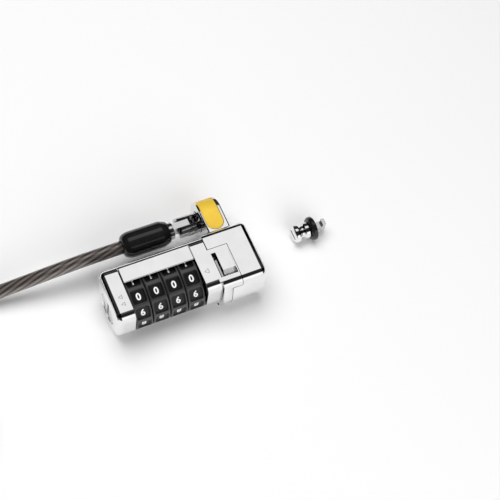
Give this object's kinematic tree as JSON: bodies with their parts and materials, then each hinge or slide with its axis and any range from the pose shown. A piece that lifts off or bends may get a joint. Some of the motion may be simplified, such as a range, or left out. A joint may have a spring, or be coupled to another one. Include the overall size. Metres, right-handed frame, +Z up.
{
  "type": "laptop cable lock",
  "caption": "Combination cable lock for a laptop: chromed body with digit wheels, thumb slide, swivelling side cable joint, coiled steel cable with end loop, and a slot anchor.",
  "frame": {"origin": "centre of the flat underside of the lock's head, where the lock lies on a surface", "axes": "+Z up from the surface, +X along the lock towards the end that takes the anchor, +Y towards the side that carries the cable joint"},
  "size_m": [0.2447, 0.0885, 0.0253],
  "materials": {
    "chrome": "bright polished chrome plate on die-cast zinc",
    "steel": "satin nickel-plated steel",
    "spring_steel": "plain spring steel",
    "brass": "turned brass",
    "black_wheel": "moulded black wheels with white digits",
    "black_plastic": "glossy black plastic",
    "yellow": "yellow plastic trim",
    "cable_skin": "clear sheath over twisted steel strands"
  },
  "bodies": {
    "cable_side": {"cable_ferrule": "steel", "strain_sleeve": "black_plastic", "cable": "cable_skin", "cable_coil": "cable_skin", "cable_tail": "cable_skin", "eye_crimp": "black_plastic", "end_eye": "cable_skin"},
    "barrel": {"swivel_barrel": "steel", "barrel_clip": "spring_steel", "pivot_pin": "steel"},
    "lock_body": {"rear_cap": "chrome", "cap_dowel": "steel", "main_housing": "chrome", "label_band": "chrome", "detent_spring": "spring_steel", "head_sleeve": "chrome", "anchor_socket": "black_plastic", "cable_lug": "chrome", "lug_inlay": "yellow", "spindle_spring": "spring_steel", "latch_spring": "spring_steel"},
    "wheel_1": {"number_wheel_1": "black_wheel", "wheel_hub_1": "brass"},
    "wheel_2": {"number_wheel_2": "black_wheel", "wheel_hub_2": "brass"},
    "wheel_3": {"number_wheel_3": "black_wheel", "wheel_hub_3": "brass"},
    "wheel_4": {"number_wheel_4": "black_wheel", "wheel_hub_4": "brass"},
    "code_screw": {"code_change_screw": "steel"},
    "slider": {"release_button": "chrome", "spindle": "steel"},
    "latch": {"latch_plate": "steel"},
    "anchor": {"anchor_stud": "chrome", "anchor_collar": "black_plastic", "anchor_bar": "steel"}
  },
  "joints": [
    {"name": "cable_pivot", "type": "hinge", "parent": "cable_side", "child": "barrel", "pos_m": [-0.0091, 0.0227, 0.0141], "axis": [0, -1, 0], "range_deg": [0, 90]},
    {"name": "lock_swivel", "type": "hinge", "parent": "barrel", "child": "lock_body", "pos_m": [0, 0.0227, 0.0141], "axis": [-1, 0, 0], "continuous": true},
    {"name": "wheel_1_spin", "type": "hinge", "parent": "lock_body", "child": "wheel_1", "pos_m": [-0.04172, 0, 0.0119], "axis": [1, 0, 0], "continuous": true},
    {"name": "wheel_2_spin", "type": "hinge", "parent": "lock_body", "child": "wheel_2", "pos_m": [-0.03417, 0, 0.0119], "axis": [1, 0, 0], "continuous": true},
    {"name": "wheel_3_spin", "type": "hinge", "parent": "lock_body", "child": "wheel_3", "pos_m": [-0.02662, 0, 0.0119], "axis": [1, 0, 0], "continuous": true},
    {"name": "wheel_4_spin", "type": "hinge", "parent": "lock_body", "child": "wheel_4", "pos_m": [-0.01908, 0, 0.0119], "axis": [1, 0, 0], "continuous": true},
    {"name": "code_change_turn", "type": "hinge", "parent": "lock_body", "child": "code_screw", "pos_m": [-0.0534, 0, 0.0119], "axis": [1, 0, 0], "range_deg": [0, 90]},
    {"name": "button_slide", "type": "slide", "parent": "lock_body", "child": "slider", "axis": [-1, 0, 0], "range_m": [0, 0.0015], "stiffness_N_per_m": 1500, "deforming": ["spindle_spring"]},
    {"name": "latch_slide", "type": "slide", "parent": "lock_body", "child": "latch", "axis": [0, 0, -1], "range_m": [0, 0.0024], "stiffness_N_per_m": 300, "deforming": ["latch_spring"]},
    {"name": "anchor_lift", "type": "slide", "parent": "cable_side", "child": "anchor", "axis": [0, 0, 1], "range_m": [0, 0.03]}
  ],
  "couplings": [
    {"joint": "latch_slide", "follows": "button_slide", "ratio": 1.6}
  ]
}
